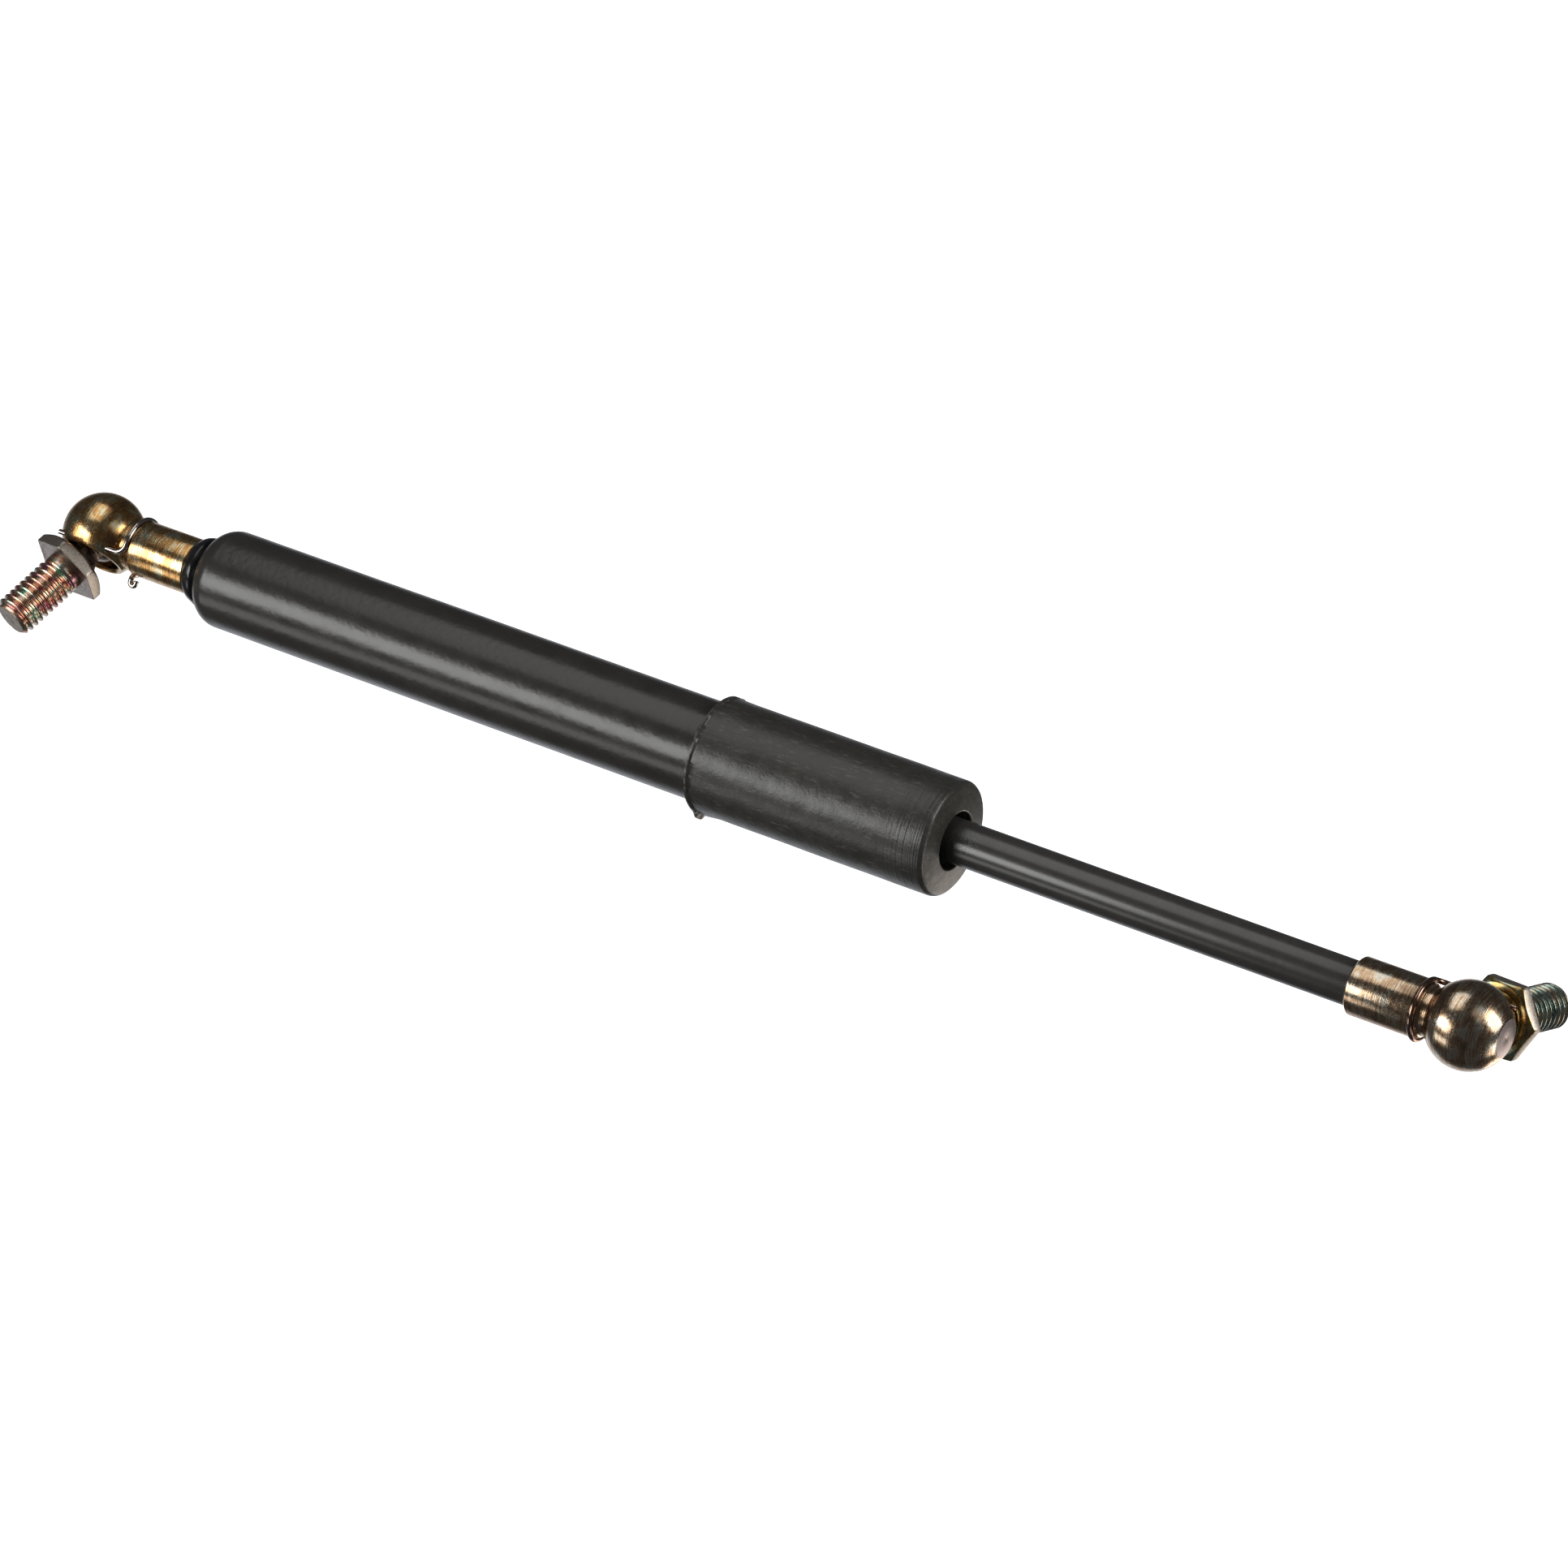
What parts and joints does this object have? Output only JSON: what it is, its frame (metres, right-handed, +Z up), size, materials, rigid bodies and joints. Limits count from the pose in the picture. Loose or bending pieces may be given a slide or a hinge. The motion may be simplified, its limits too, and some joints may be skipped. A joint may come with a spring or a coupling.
{
  "type": "gas strut stay",
  "caption": "Gas strut stay: sealed black tube with sliding rod, protective sleeve, and a clipped ball socket with threaded ball stud at each end.",
  "frame": {"origin": "centre of the ball at the tube's end", "axes": "+X along the strut's axis to the centre of the rod-end ball, +Z up as the strut lies on a table"},
  "size_m": [0.3013, 0.0465, 0.0226],
  "materials": {
    "tube_paint": "semi-gloss black stoved paint",
    "rod_finish": "satin black nitrided and polished steel",
    "passivated_zinc": "yellow passivated zinc plating with an iridescent film, over turned steel",
    "clip_wire": "yellow passivated spring wire",
    "sleeve_plastic": "satin black moulded plastic",
    "black_rubber": "smooth black rubber",
    "bright_steel": "bright turned steel",
    "bearing_bronze": "sintered bronze",
    "seal_plastic": "natural white plastic"
  },
  "bodies": {
    "tube": {"pressure_tube": "tube_paint", "tube_end_stud": "bright_steel", "locking_ring": "black_rubber", "stop_ring": "bright_steel", "rod_seal": "black_rubber", "seal_washer": "seal_plastic", "rod_guide": "bearing_bronze", "guide_bush": "bright_steel", "guide_o_ring": "black_rubber", "end_washer": "bright_steel", "protective_sleeve": "sleeve_plastic", "tube_end_socket": "passivated_zinc", "tube_end_clip": "clip_wire"},
    "piston_ring": {"piston_ring": "black_rubber"},
    "rod": {"piston_rod": "rod_finish", "stop_disc": "bright_steel", "piston": "bearing_bronze", "orifice_disc": "bright_steel", "piston_washer": "bright_steel", "rod_end_socket": "passivated_zinc", "rod_end_clip": "clip_wire"},
    "tube_end_ball_stud": {"tube_end_ball_stud": "passivated_zinc"},
    "rod_end_ball_stud": {"rod_end_ball_stud": "passivated_zinc"}
  },
  "joints": [
    {"name": "rod_travel", "type": "slide", "parent": "tube", "child": "piston_ring", "axis": [-1, 0, 0], "range_m": [0, 0.075], "stiffness_N_per_m": 370, "springref_m": -0.216},
    {"name": "rod_turn", "type": "hinge", "parent": "piston_ring", "child": "rod", "pos_m": [0, 0, 0], "axis": [1, 0, 0], "continuous": true},
    {"name": "tube_end_stud_turn", "type": "hinge", "parent": "tube", "child": "tube_end_ball_stud", "pos_m": [0, 0, 0], "axis": [-0.2252, -0.9034, -0.3649], "continuous": true},
    {"name": "rod_end_stud_turn", "type": "hinge", "parent": "rod", "child": "rod_end_ball_stud", "pos_m": [0.283, 0, 0], "axis": [0.1815, 0.9336, -0.309], "continuous": true}
  ]
}
